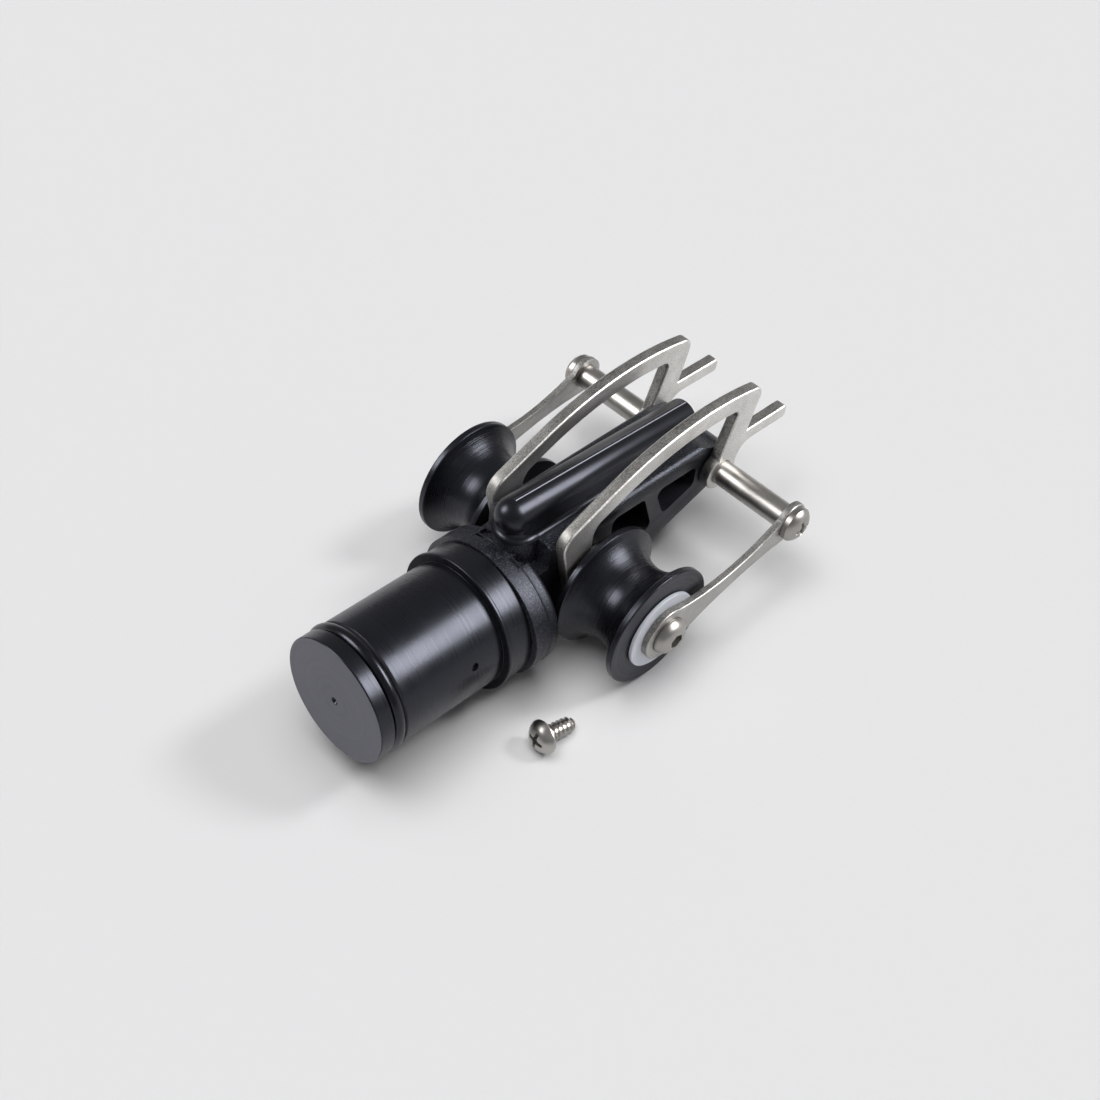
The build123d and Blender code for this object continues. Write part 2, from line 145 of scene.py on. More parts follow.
def swept(path, sideways, upright, section):
    # Carried along a path: point = path + across * sideways + out * upright, for each (across, out) of the
    # section. The section shrinks to a point at both ends, which closes them
    growth = np.ones((len(path) + 2, 1, 1))
    growth[(0, -1), 0, 0] = 0
    path, sideways, upright = (
        np.concatenate([rows[:1], rows, rows[-1:]])[:, None, :] for rows in (path, sideways, upright)
    )
    shape = section[None] * growth
    return path + shape[..., :1] * sideways + shape[..., 1:] * upright


def everywhere(direction, path):
    # The same direction for each point of a path
    return np.tile(direction, (len(path), 1))


def turnedBy(angle, points):
    # Turned about Y: x' = x * cos(angle) + z * sin(angle), z' = z * cos(angle) - x * sin(angle)
    x, y, z = np.moveaxis(np.asarray(points, float), -1, 0)
    cosine, sine = math.cos(angle), math.sin(angle)
    return np.stack([x * cosine + z * sine, y, z * cosine - x * sine], -1)


def laid(points):
    # From the plug's own frame to the bench
    return turnedBy(lean, points)


def unlaid(points):
    # From the bench to the plug's own frame
    return turnedBy(-lean, points)


def makePiece(name, grid, body, node, materials, sharp=40):
    # A grid of points, rows by columns, is closed round its columns. Points that meet, at poles and seams,
    # are merged, and the faces of the closed shell are turned outwards. Edges stay sharp from this angle
    rows, columns = grid.shape[:2]
    index = np.arange(rows * columns).reshape(rows, columns)
    beside = np.roll(index, -1, 1)
    faces = np.stack([index[:-1], index[1:], beside[1:], beside[:-1]], -1).reshape(-1, 4)
    mesh = bpy.data.meshes.new(name)
    mesh.from_pydata((grid.reshape(-1, 3) * mm).tolist(), [], faces.tolist())
    shell = bmesh.new()
    shell.from_mesh(mesh)
    bmesh.ops.remove_doubles(shell, verts=shell.verts, dist=meshing["merge"] * mm)
    bmesh.ops.recalc_face_normals(shell, faces=shell.faces)
    shell.to_mesh(mesh)
    shell.free()
    mesh.shade_smooth()
    mesh.set_sharp_from_angle(angle=math.radians(sharp))
    return place(name, mesh, body, node, materials)


def dressedCopy(name, node, materials, edge):
    # The own shape of a CAD node of the frame body, with its loose triangles merged into flat faces, and its
    # edges rounded over
    mesh = frame["nodes"][node].data.copy()
    mesh.materials.clear()
    mesh.name = name
    shell = bmesh.new()
    shell.from_mesh(mesh)
    bmesh.ops.remove_doubles(shell, verts=shell.verts, dist=meshing["merge"] * mm)
    bmesh.ops.dissolve_limit(shell, angle_limit=math.radians(meshing["flat"]), verts=shell.verts,
                             edges=shell.edges)
    shell.to_mesh(mesh)
    shell.free()
    mesh.shade_smooth()
    piece = place(name, mesh, "frame", node, materials)
    bevel = piece.modifiers.new("roundedEdges", "BEVEL")
    bevel.width = edge * mm
    bevel.segments = meshing["roundSteps"]
    bevel.limit_method = "ANGLE"
    bevel.angle_limit = math.radians(meshing["roundFrom"])
    bevel.harden_normals = True
    return piece


def place(name, mesh, body, node, materials):
    piece = bpy.data.objects.new(name, mesh)
    bpy.context.scene.collection.objects.link(piece)
    for material in materials:
        mesh.materials.append(material)
    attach(piece, body)
    if node:
        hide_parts(node)
    return piece


def finishFaces(piece, chosen):
    # chosen gives each face's material number, worked out from the centres and normals of all faces, in mm
    mesh = piece.data
    centres, normals = (np.empty(3 * len(mesh.polygons)) for _ in range(2))
    mesh.polygons.foreach_get("center", centres)
    mesh.polygons.foreach_get("normal", normals)
    numbers = chosen(centres.reshape(-1, 3) / mm, normals.reshape(-1, 3))
    mesh.polygons.foreach_set("material_index", numbers.astype(np.int32))


# Finishes

coolShine = "#DCE0F2"  # black plastic and rubber mirror the light a little blue
acetalLooks = {
    "plug": {"colours": ("#0C0D10", "#131418"), "rough": 0.29, "ringDepth": 0.007, "ringWidth": 0.9},
    # The faced end's grey is partly the faced surface's own scatter and partly a painted reflection of the bench
    "plugEnd": {"colours": ("#595A62", "#66676F"), "rough": 0.42, "ringDepth": 0.02, "ringWidth": 2.5},
    "roller": {"colours": ("#0C0D10", "#131418"), "rough": 0.28, "ringDepth": 0.08, "ringWidth": 0.8},
    "rollerEnd": {"colours": ("#191A1E", "#212226"), "rough": 0.42, "ringDepth": 0.012, "ringWidth": 1.2},
}
# The pale colour on the grain's tips is partly the grain's own tone and partly a painted glint of sparkle
nylonLooks = {
    "grained": {"grainAndGlintTips": "#4C4F57", "rough": 0.36, "grainDepth": 0.16, "grainWidth": 0.45, "rub": 0.2},
    "satin": {"grainAndGlintTips": "#1E1F23", "rough": 0.4, "grainDepth": 0.05, "grainWidth": 0.6, "rub": 0.1},
    "smooth": {"grainAndGlintTips": "#101114", "rough": 0.33, "grainDepth": 0.006, "grainWidth": 1.4, "rub": 0.02},
    "rim": {"grainAndGlintTips": "#26272C", "rough": 0.55, "grainDepth": 0.16, "grainWidth": 0.45, "rub": 0.2,
            "shine": 0.15},
    "ridge": {"grainAndGlintTips": "#15161A", "rough": 0.2, "grainDepth": 0.004, "grainWidth": 1.4, "rub": 0.02},
}
# Plates and arms are one tumbled stainless. The plates' paler tone is a painted reflection of the lit bench, and
# the arms' darker tone is painted shade from the shadowed bench they mirror
sheetLooks = {
    "plate": {"colours": ("#BDBBB7", "#E6E4E1"), "rough": 0.42, "dentDepth": 0.05, "dentWidth": 0.45},
    "edge": {"colours": ("#767472", "#AAA8A5"), "rough": 0.5, "dentDepth": 0.08, "dentWidth": 0.5},
    "arm": {"colours": ("#9C9A97", "#B6B4B1"), "rough": 0.4, "dentDepth": 0.04, "dentWidth": 0.45},
}
barLooks = {
    "head": {"colours": ("#96938F", "#ABA8A4"), "rough": 0.36},
    "pin": {"colours": ("#A5A29E", "#B8B5B1"), "rough": 0.37},
    "loose": {"colours": ("#A5A29E", "#B8B5B1"), "rough": 0.33},
}


def toLinear(sRgb):
    # sRGB hex to linear: c / 12.92 up to 0.04045, and ((c + 0.055) / 1.055) ** 2.4 above it
    channels = [int(sRgb[i:i + 2], 16) / 255 for i in (1, 3, 5)]
    return [c / 12.92 if c <= 0.04045 else ((c + 0.055) / 1.055) ** 2.4 for c in channels] + [1.0]


def addNode(tree, kind, settings=None, links=None):
    # settings are the node's own properties, or its sockets by name or number; links are outputs to join
    node = tree.nodes.new(kind)
    for key, value in (settings or {}).items():
        if isinstance(key, str) and hasattr(node, key):
            setattr(node, key, value)
        else:
            node.inputs[key].default_value = value
    for key, output in (links or {}).items():
        tree.links.new(output, node.inputs[key])
    return node


def newMaterial(name, shaderSettings):
    material = bpy.data.materials.new(name)
    material.use_nodes = True
    tree = material.node_tree
    tree.nodes.clear()
    shader = addNode(tree, "ShaderNodeBsdfPrincipled", shaderSettings)
    addNode(tree, "ShaderNodeOutputMaterial", links={"Surface": shader.outputs[0]})
    return material, tree, shader


def noise(tree, size, links, **settings):
    # Noise whose lumps measure about this many mm
    chosen = {"Scale": 1 / (size * mm), "Detail": 2.0}
    chosen.update(settings)
    return addNode(tree, "ShaderNodeTexNoise", chosen, links).outputs["Fac"]


def spread(tree, value, low, high, fromLow=0.3, fromHigh=0.7):
    # Stretches a noise value to a wanted range
    settings = {"From Min": fromLow, "From Max": fromHigh, "To Min": low, "To Max": high}
    return addNode(tree, "ShaderNodeMapRange", settings, {"Value": value}).outputs[0]


def blendColours(tree, first, second, share):
    settings = {"data_type": "RGBA", 6: toLinear(first), 7: toLinear(second)}
    return addNode(tree, "ShaderNodeMix", settings, {0: share}).outputs[2]


def toolPath(tree, line):
    # A lathe tool's way over the piece: the distance along the line plus the distance from it
    origin, axis = line
    kind = "ShaderNodeVectorMath"
    here = addNode(tree, "ShaderNodeTexCoord").outputs["Object"]
    away = addNode(tree, kind, {"operation": "SUBTRACT", 1: tuple(origin * mm)}, {0: here}).outputs[0]
    along = addNode(tree, kind, {"operation": "DOT_PRODUCT", 1: tuple(axis)}, {0: away}).outputs["Value"]
    onLine = addNode(tree, kind, {"operation": "SCALE", 0: tuple(axis)}, {"Scale": along}).outputs[0]
    spoke = addNode(tree, kind, {"operation": "SUBTRACT"}, {0: away, 1: onLine}).outputs[0]
    radius = addNode(tree, kind, {"operation": "LENGTH"}, {0: spoke}).outputs["Value"]
    return addNode(tree, "ShaderNodeMath", {"operation": "ADD"}, {0: along, 1: radius}).outputs[0]


def turnedAcetal(name, line, colours, rough, ringDepth, ringWidth):
    # Black acetal off the lathe: fine rings that draw the highlight out into threads. The tool's feed of
    # 0.1 mm is too fine to show, so the rings are drawn 0.4 mm wide, with broader ones between them
    material, tree, shader = newMaterial(name, {"IOR": 1.48, "Specular Tint": toLinear(coolShine)})
    path = toolPath(tree, line)
    fine = noise(tree, 0.4, {"W": path}, noise_dimensions="1D", Detail=1.0)
    broad = noise(tree, ringWidth, {"W": path}, noise_dimensions="1D", Detail=3.0)
    here = addNode(tree, "ShaderNodeTexCoord").outputs["Object"]
    scuffs = noise(tree, 9.0, {"Vector": here}, Detail=4.0)
    tree.links.new(blendColours(tree, *colours, scuffs), shader.inputs["Base Color"])
    ringWear = spread(tree, broad, rough * 0.9, rough * 1.1)
    wear = addNode(tree, "ShaderNodeMath", {"operation": "MULTIPLY"},
                   {0: ringWear, 1: spread(tree, scuffs, 0.92, 1.1)})
    tree.links.new(wear.outputs[0], shader.inputs["Roughness"])
    deep = addNode(tree, "ShaderNodeBump", {"Strength": 0.6, "Distance": ringDepth * mm}, {"Height": broad})
    rings = addNode(tree, "ShaderNodeBump", {"Strength": 0.6, "Distance": ringDepth * mm},
                    {"Height": fine, "Normal": deep.outputs[0]})
    tree.links.new(rings.outputs[0], shader.inputs["Normal"])
    return material


def mouldedNylon(name, grainAndGlintTips, rough, grainDepth, grainWidth, rub, shine=0.5):
    # Black nylon moulding. The mould's spark-eroded grain is drawn wide enough to show. Its tips are
    # painted paler than its hollows, partly the grain's own tone and partly a painted glint of sparkle,
    # and are rubbed shinier than its hollows
    settings = {"IOR": 1.5, "Specular IOR Level": shine, "Specular Tint": toLinear(coolShine)}
    material, tree, shader = newMaterial(name, settings)
    here = addNode(tree, "ShaderNodeTexCoord").outputs["Object"]
    cloud = noise(tree, 12.0, {"Vector": here}, Detail=3.0)
    pebble = noise(tree, grainWidth, {"Vector": here}, Detail=3.0)
    # Pale grain tips: the grain's tone with a painted glint of sparkle
    colour = blendColours(tree, "#0C0D10", grainAndGlintTips, spread(tree, pebble, 0, 1, 0.5, 0.68))
    tree.links.new(colour, shader.inputs["Base Color"])
    cloudy = spread(tree, cloud, rough * 0.9, rough * 1.1)
    rubbed = addNode(tree, "ShaderNodeMath", {"operation": "MULTIPLY"},
                     {0: cloudy, 1: spread(tree, pebble, 1 + rub, 1 - rub)})
    tree.links.new(rubbed.outputs[0], shader.inputs["Roughness"])
    bump = addNode(tree, "ShaderNodeBump", {"Strength": 0.9, "Distance": grainDepth * mm}, {"Height": pebble})
    tree.links.new(bump.outputs[0], shader.inputs["Normal"])
    return material


def sealRubber():
    # Nitrile rubber ring, smooth and lightly greased, so its highlight is narrow
    settings = {"IOR": 1.48, "Specular Tint": toLinear(coolShine)}
    material, tree, shader = newMaterial("nitrileRubber", settings)
    here = addNode(tree, "ShaderNodeTexCoord").outputs["Object"]
    smear = noise(tree, 4.0, {"Vector": here}, Detail=3.0)
    tree.links.new(blendColours(tree, "#08080A", "#111114", smear), shader.inputs["Base Color"])
    tree.links.new(spread(tree, smear, 0.2, 0.28), shader.inputs["Roughness"])
    return material


def tumbledSteel(name, colours, rough, dentDepth, dentWidth):
    # Stainless sheet, cut and then tumbled in stones: an even satin full of tiny random dents, drawn wide
    # enough to show. The cut edges stay darker and rougher than the sheet's faces
    material, tree, shader = newMaterial(name, {"Metallic": 1.0})
    here = addNode(tree, "ShaderNodeTexCoord").outputs["Object"]
    cloud = noise(tree, 7.0, {"Vector": here}, Detail=4.0)
    dents = noise(tree, dentWidth, {"Vector": here}, Detail=4.0)
    mottled = addNode(tree, "ShaderNodeMath", {"operation": "MULTIPLY_ADD", 1: 0.4}, {0: cloud, 2: dents})
    colour = blendColours(tree, *colours, spread(tree, mottled.outputs[0], 0, 1, 0.55, 0.85))
    tree.links.new(colour, shader.inputs["Base Color"])
    tree.links.new(spread(tree, dents, rough * 0.8, rough * 1.25), shader.inputs["Roughness"])
    bump = addNode(tree, "ShaderNodeBump", {"Strength": 0.8, "Distance": dentDepth * mm}, {"Height": dents})
    tree.links.new(bump.outputs[0], shader.inputs["Normal"])
    return material


def turnedSteel(name, line, colours, rough):
    # Stainless bar and screw heads, polished in the lathe: faint rings, drawn 0.6 mm wide so that they
    # show, under a little haze
    material, tree, shader = newMaterial(name, {"Metallic": 1.0})
    path = toolPath(tree, line)
    rings = noise(tree, 0.6, {"W": path}, noise_dimensions="1D", Detail=1.0)
    here = addNode(tree, "ShaderNodeTexCoord").outputs["Object"]
    haze = noise(tree, 4.0, {"Vector": here}, Detail=2.0)
    tree.links.new(blendColours(tree, *colours, haze), shader.inputs["Base Color"])
    tree.links.new(spread(tree, haze, rough * 0.88, rough * 1.12), shader.inputs["Roughness"])
    bump = addNode(tree, "ShaderNodeBump", {"Strength": 0.5, "Distance": 0.003 * mm}, {"Height": rings})
    tree.links.new(bump.outputs[0], shader.inputs["Normal"])
    return material


def whiteAcetal():
    # Natural acetal: a cold milky white with a little light inside
    settings = {"IOR": 1.48, "Subsurface Weight": 0.15, "Subsurface Scale": 0.8 * mm}
    material, tree, shader = newMaterial("naturalAcetal", settings)
    here = addNode(tree, "ShaderNodeTexCoord").outputs["Object"]
    cloud = noise(tree, 5.0, {"Vector": here}, Detail=3.0)
    tree.links.new(blendColours(tree, "#D6DAE4", "#E2E5EC", cloud), shader.inputs["Base Color"])
    tree.links.new(spread(tree, cloud, 0.38, 0.5), shader.inputs["Roughness"])
    return material


plugAcetal = turnedAcetal("blackAcetalPlug", plugLine, **acetalLooks["plug"])
# The faced end: partly its own scatter, partly a painted reflection of the bench
plugEndScatterAndPaintedReflection = turnedAcetal("blackAcetalPlugEndPaintedReflection", plugLine, **acetalLooks["plugEnd"])
rollerAcetal = turnedAcetal("blackAcetalRollers", axleLine, **acetalLooks["roller"])
rollerFaced = turnedAcetal("blackAcetalRollerEnds", axleLine, **acetalLooks["rollerEnd"])
grainedNylon = mouldedNylon("blackNylonGrained", **nylonLooks["grained"])
satinNylon = mouldedNylon("blackNylonSatin", **nylonLooks["satin"])
smoothNylon = mouldedNylon("blackNylonSmooth", **nylonLooks["smooth"])
rimNylon = mouldedNylon("blackNylonRim", **nylonLooks["rim"])
ridgeNylon = mouldedNylon("blackNylonRidge", **nylonLooks["ridge"])
rubber = sealRubber()
# Plates painted paler as a reflection of the lit bench, arms painted darker as shade from the shadowed bench
plateSteelPaintedReflection = tumbledSteel("tumbledStainlessSheetPaintedReflection", **sheetLooks["plate"])
cutSteel = tumbledSteel("tumbledStainlessEdge", **sheetLooks["edge"])
armSteelPaintedShade = tumbledSteel("tumbledStainlessArmPaintedShade", **sheetLooks["arm"])
headSteelAxle = turnedSteel("turnedStainlessAxleHeads", axleLine, **barLooks["head"])
headSteelPin = turnedSteel("turnedStainlessPinHeads", pinLine, **barLooks["head"])
pinSteel = turnedSteel("turnedStainlessPin", pinLine, **barLooks["pin"])
white = whiteAcetal()
print("finishes made")


# Pole plug

plug = {
    "radius": plugMount["dims"]["r_mm"], "length": 52.0, "edge": 0.5,
    "markRadius": 1.5, "markFlat": 0.75, "markDepth": 0.9, "markEdge": 0.12,
    "land": 5.5,
    "grooveFloor": 19.0, "grooveWidth": 5.26, "grooveEdge": 0.2, "grooveFillet": 0.3,
    "rimRadius": 25.8, "rimWidth": 1.6, "rimEdge": 0.5, "rimFillet": 0.15,
    "bandRadius": 25.0, "bandEnd": 10.4, "bandEdge": 0.25,
    "stubRadius": 15.0, "stubLength": 16.0, "stubFillet": 0.2, "stubEdge": 0.3,
    "pilotWall": 0.25, "pilotReach": 1.8, "pilotStep": 0.08,
    "columns": 256,
    "faced": 0.9,  # how squarely a face looks back along the plug's line to count as faced
}
plugEnd = -plug["length"]
grooveAt = plugEnd + plug["land"]
grooveEnd = grooveAt + plug["grooveWidth"]
stubEnd = plug["bandEnd"] + plug["stubLength"]

# The fixing screw's pilot mark in the plug's side, flat at the bottom, as wide and deep as the mount says.
# The rows and columns are close together there
pilotMount = named(frame["record"]["mounts"], "fixing_pilot")
pilotOut = unlaid(pilotMount["axis"])
pilotAlong = unlaid(np.array(pilotMount["pos_m"]) / mm)[0]
pilotAngle = math.atan2(pilotOut[2], -pilotOut[1]) % (2 * math.pi)
pilotSpan = np.arange(-plug["pilotReach"], plug["pilotReach"], plug["pilotStep"])
plugProfile = roundedLine([
    (plugEnd + plug["markDepth"], 0, 0),
    (plugEnd + plug["markDepth"], plug["markFlat"], 0),
    (plugEnd, plug["markRadius"], plug["markEdge"]),
    (plugEnd, plug["radius"], plug["edge"]),
    (grooveAt, plug["radius"], plug["grooveEdge"]),
    (grooveAt, plug["grooveFloor"], plug["grooveFillet"]),
    (grooveEnd, plug["grooveFloor"], plug["grooveFillet"]),
    (grooveEnd, plug["radius"], plug["grooveEdge"]),
    *((along, plug["radius"], 0) for along in pilotAlong + pilotSpan),
    (0, plug["radius"], plug["rimFillet"]),
    (0, plug["rimRadius"], plug["rimEdge"]),
    (plug["rimWidth"], plug["rimRadius"], plug["rimEdge"]),
    (plug["rimWidth"], plug["bandRadius"], plug["rimFillet"]),
    (plug["bandEnd"], plug["bandRadius"], plug["bandEdge"]),
    (plug["bandEnd"], plug["stubRadius"], plug["stubFillet"]),
    (stubEnd, plug["stubRadius"], plug["stubEdge"]),
    (stubEnd, 0, 0),
])
plugAngle = np.unique(np.concatenate([
    np.linspace(0, 2 * math.pi, plug["columns"], endpoint=False),
    pilotAngle + pilotSpan / plug["radius"],
]))
plugGrid = np.repeat(plugProfile[:, None, :], len(plugAngle), 1)
fromPilot = np.hypot(plugGrid[..., 0] - pilotAlong, plug["radius"] * (plugAngle - pilotAngle))
pilotShare = np.clip((pilotMount["dims"]["r_mm"] - fromPilot) / plug["pilotWall"], 0, 1)
plugGrid[..., 1] -= pilotShare * pilotMount["dims"]["length_mm"]
plugPiece = makePiece("plug_turned", turned(plugGrid, plugLine, angle=plugAngle), "frame", "pole_plug",
                      [plugAcetal, plugEndScatterAndPaintedReflection, rimNylon])


def plugFinish(centres, normals):
    # 0 turned side, 1 faced end, painted paler: partly its own scatter, partly a painted reflection of
    # the bench, 2 the rim's dark grained shoulder
    backward = normals @ plugLine[1] < -plug["faced"]
    return np.where(backward & (centres @ plugLine[1] > plugEnd / 2), 2, backward)


finishFaces(plugPiece, plugFinish)

# Seal ring, free of the tube, so it is round and stands proud of the plug
seal = {"cord": 4.5, "proud": 0.65, "columns": 256}
cordAngle = np.linspace(0, 2 * math.pi, 41)
sealProfile = np.stack([
    (grooveAt + grooveEnd) / 2 + seal["cord"] / 2 * np.cos(cordAngle),
    plug["radius"] + seal["proud"] - seal["cord"] / 2 + seal["cord"] / 2 * np.sin(cordAngle),
], -1)
makePiece("seal_ring", turned(sealProfile, plugLine, seal["columns"]), "frame", "pole_seal",
          [rubber])
print("plug and seal made")


# Rollers and washers

roller = {
    "rim": 2.4, "waist": 15.6, "edge": 0.45, "lip": 0.6, "bore": 8.24, "boreEdge": 0.3,
    "columns": 200,
    "faced": 0.95,  # how squarely a face looks along the axle to count as faced
}
washer = {"bore": 6.15, "boreEdge": 0.15, "outerEdge": 0.3, "innerEdge": 0.2, "edgeSteps": 4, "columns": 120}


def rollerProfile(inner, outer):
    # The groove is one arc: along = middle + R * sin(bend), radius = waist + R * (1 - cos(bend)), where R,
    # the arc's own radius, follows from the groove's width and depth
    radius = side("roller_right", "z", True) - axleAt[2]
    halfWidth = (outer - inner) / 2 - roller["rim"]
    depth = radius - roller["waist"]
    arcRadius = (halfWidth**2 + depth**2) / (2 * depth)
    bend = np.linspace(-1, 1, 33) * math.asin(halfWidth / arcRadius)
    groove = np.stack([
        (inner + outer) / 2 + arcRadius * np.sin(bend),
        roller["waist"] + arcRadius * (1 - np.cos(bend)),
        0 * bend,
    ], -1)
    groove[(0, -1), 2] = roller["lip"]
    middle = (outer, (radius + roller["bore"]) / 2, 0)
    return roundedLine([
        middle,
        (outer, roller["bore"], roller["boreEdge"]),
        (inner, roller["bore"], roller["boreEdge"]),
        (inner, radius, roller["edge"]),
        *groove,
        (outer, radius, roller["edge"]),
        middle,
    ])


def washerProfile(node, edge):
    low, high = side(node, "y", False), side(node, "y", True)
    radius = side(node, "z", True) - axleAt[2]
    middle = (high, (radius + washer["bore"]) / 2, 0)
    return roundedLine([
        middle,
        (high, radius, edge),
        (low, radius, edge),
        (low, washer["bore"], washer["boreEdge"]),
        (high, washer["bore"], washer["boreEdge"]),
        middle,
    ], washer["edgeSteps"])


for hand, sign in (("right", -1), ("left", 1)):
    node = "roller_" + hand
    inner, outer = abs(side(node, "y", sign < 0)), abs(side(node, "y", sign > 0))
    profile = rollerProfile(inner, outer) * (sign, 1)
    piece = makePiece("roller_turned_" + hand, turned(profile, axleLine, roller["columns"]),
                      hand + "_roller", node, [rollerAcetal, rollerFaced])
    finishFaces(piece, lambda centres, normals: np.abs(normals[:, 1]) > roller["faced"])
    for kind in ("outer", "inner"):
        node = kind + "_washer_" + hand
        profile = washerProfile(node, washer[kind + "Edge"])
        makePiece(kind + "_washer_pressed_" + hand, turned(profile, axleLine, washer["columns"]),
                  "frame", node, [white])
print("rollers and washers made")


# Plates, arms and body keep their CAD outlines

sheet = {
    "plateEdge": 0.4, "armEdge": 0.25,
    "cut": 0.5,  # how little a face looks sideways to count as a cut edge
}


def sheetFinish(centres, normals):
    # 0 tumbled face, 1 cut edge
    return np.abs(normals[:, 1]) < sheet["cut"]


for hand in ("left", "right"):
    plate = dressedCopy("plate_tumbled_" + hand, "jaw_plate_" + hand,
                        [plateSteelPaintedReflection, cutSteel], sheet["plateEdge"])
    arm = dressedCopy("arm_tumbled_" + hand, "link_arm_" + hand,
                      [armSteelPaintedShade, cutSteel], sheet["armEdge"])
    finishFaces(plate, sheetFinish)
    finishFaces(arm, sheetFinish)
print("plates and arms made")

# The body's places are in the plug's own frame
body = {
    "edge": 0.5,
    "boxHalf": 14.4,
    "spineHalf": 6.4, "spineStart": 22.0, "spineEnd": 106.0, "crestStart": 43.4, "crestEnd": 41.2,
    "deckStart": 26.3, "deckEnd": 101.0, "deckLow": 29.4, "deckHigh": 31.2,
    "pocketsFrom": 52.6, "pocketsBelow": 26.4,
    "footAt": 24.5, "footTop": 29.8, "footFillet": 2.2, "filletEnd": 62.0, "filletRoot": 0.4,
    "ridgeHalf": 0.6, "ridgeProud": 0.3, "ridgeShort": 0.4,
    "neckAcross": 27.4, "neckUp": 24.6, "neckRise": 0.9,
    "seamAt": 17.2, "seamHalf": 0.35, "seamProud": 0.14, "seamFrom": -25, "seamTo": 205,
    "bowRoot": 0.3,
    "wallSlack": 0.1,  # how far off a wall a face may be and still have the wall's finish
    "spineAbove": 0.6,  # how far above the deck the spine's finish starts
}


def deckHeight(x):
    share = (x - body["deckStart"]) / (body["deckEnd"] - body["deckStart"])
    return body["deckLow"] + share * (body["deckHigh"] - body["deckLow"])


def bodyFinish(centres, normals):
    # 0 grained neck and deck, 1 satin sides and pockets, 2 smooth spine
    x, y, z = unlaid(centres).T
    spine = (np.abs(y) < body["spineHalf"] + body["wallSlack"]) & (z > deckHeight(x) + body["spineAbove"])
    sides = (x > body["deckStart"]) & (np.abs(y) > body["boxHalf"] - body["wallSlack"])
    pockets = (x > body["pocketsFrom"]) & (z < body["pocketsBelow"])
    return np.where(spine, 2, np.where(sides | pockets, 1, 0))


bodyPiece = dressedCopy("body_moulded", "jaw_body",
                        [grainedNylon, satinNylon, smoothNylon], body["edge"])
finishFaces(bodyPiece, bodyFinish)


def bow(half, proud):
    # A low arched section, out = proud * (1 - (across / half) ** 2), that reaches a little into the wall
    # under it
    across = np.linspace(-half, half, 9)
    top = np.stack([across, proud * (1 - (across / half) ** 2)], -1)
    return np.concatenate([top, [[half, -body["bowRoot"]], [-half, -body["bowRoot"]]]])


# The mould's parting ridge along the spine's crest
share = np.linspace(0, 1, 60)[:, None]
crest = np.concatenate([
    body["spineStart"] + share * (body["spineEnd"] - body["ridgeShort"] - body["spineStart"]),
    0 * share,
    body["crestStart"] + share * (body["crestEnd"] - body["crestStart"]),
], 1)
ridge = swept(laid(crest), everywhere((0.0, 1.0, 0.0), crest), laid(everywhere((0.0, 0.0, 1.0), crest)),
              bow(body["ridgeHalf"], body["ridgeProud"]))
makePiece("spine_parting_ridge", ridge, "frame", None, [ridgeNylon])

# The mould's parting seam round the neck: point = centre + (across * cos(around), up * sin(around))
around = np.radians(np.linspace(body["seamFrom"], body["seamTo"], 140))[:, None]
seamPath = np.concatenate([
    0 * around + body["seamAt"],
    body["neckAcross"] * np.cos(around),
    body["neckRise"] + body["neckUp"] * np.sin(around),
], 1)
seamOut = np.concatenate([
    0 * around,
    np.cos(around) / body["neckAcross"],
    np.sin(around) / body["neckUp"],
], 1)
seamOut /= np.linalg.norm(seamOut, axis=1)[:, None]
seam = swept(laid(seamPath), laid(everywhere((1.0, 0.0, 0.0), seamPath)), laid(seamOut),
             bow(body["seamHalf"], body["seamProud"]))
makePiece("neck_parting_seam", seam, "frame", None, [satinNylon])

# The hollow fillet round the spine's foot: a quarter circle between wall and deck, carried down one side,
# round the foot's half circle and back up the other side
straight = np.linspace(body["filletEnd"], body["footAt"], 30)
bend = np.radians(np.linspace(-90, -270, 41))
pathX = np.concatenate([straight, body["footAt"] + body["spineHalf"] * np.cos(bend), straight[::-1]])
pathY = body["spineHalf"] * np.concatenate([0 * straight - 1, np.sin(bend), 0 * straight + 1])
pathZ = np.where(pathX > body["deckStart"], deckHeight(pathX), body["footTop"])
outX = np.concatenate([0 * straight, np.cos(bend), 0 * straight])
outY = np.concatenate([0 * straight - 1, np.sin(bend), 0 * straight + 1])
footPath = np.stack([pathX, pathY, pathZ], -1)
footOut = np.stack([outX, outY, 0 * outX], -1)
quarter = np.radians(np.linspace(0, 90, 9))
fillet, root = body["footFillet"], body["filletRoot"]
hollow = np.concatenate([
    np.stack([fillet * (1 - np.sin(quarter)), fillet * (1 - np.cos(quarter))], -1),
    [[-root, fillet], [-root, -root], [fillet, -root]],
])
foot = swept(laid(footPath), laid(footOut), laid(everywhere((0.0, 0.0, 1.0), footPath)), hollow)
makePiece("spine_foot_fillet", foot, "frame", None, [smoothNylon], 60)
print("body made")


# Front pin

pin = {
    "radius": (pinBox[1] - pinBox[0]).x / 2 / mm, "half": side("front_pin", "y", True), "edge": 0.35,
    "columns": 96,
}
pinProfile = roundedLine([
    (-pin["half"], 0, 0),
    (-pin["half"], pin["radius"], pin["edge"]),
    (pin["half"], pin["radius"], pin["edge"]),
    (pin["half"], 0, 0),
])
makePiece("front_pin_polished", turned(pinProfile, pinLine, pin["columns"]), "frame", "front_pin",
          [pinSteel])


# Screws. Each is turned about its line, and its recess is cut into the head's top: the height is the lower
# of the dome's and the recess floor's. Heights and lengths are measured from the seat under the head, and
# widths are radii

